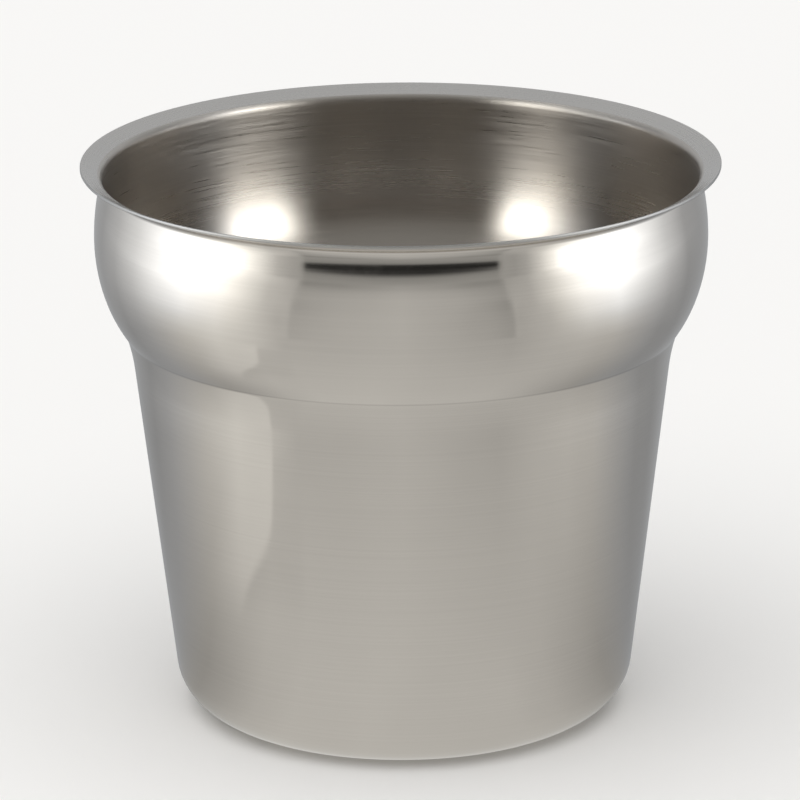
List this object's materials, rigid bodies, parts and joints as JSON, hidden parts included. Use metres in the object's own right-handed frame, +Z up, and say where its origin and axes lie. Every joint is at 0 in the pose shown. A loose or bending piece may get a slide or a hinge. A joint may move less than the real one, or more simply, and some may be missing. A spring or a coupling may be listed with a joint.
{
  "type": "soup kettle inset pot",
  "caption": "Deep-drawn stainless inset pot with a flared rim, a swollen shoulder that hangs in a round well, and a tapered wall, for holding soup in a kettle or bain-marie.",
  "frame": {"origin": "centre of the flat underside of the floor", "axes": "+Z up along the pot's axis of revolution, X and Y in the plane that it stands on; the pot looks the same from every side"},
  "size_m": [0.241, 0.241, 0.2135],
  "materials": {
    "stainless": "bright polished stainless steel outside, fine circumferential brushing inside, satin rim flange"
  },
  "bodies": {
    "root": {"inset_pot": "stainless"}
  },
  "joints": []
}
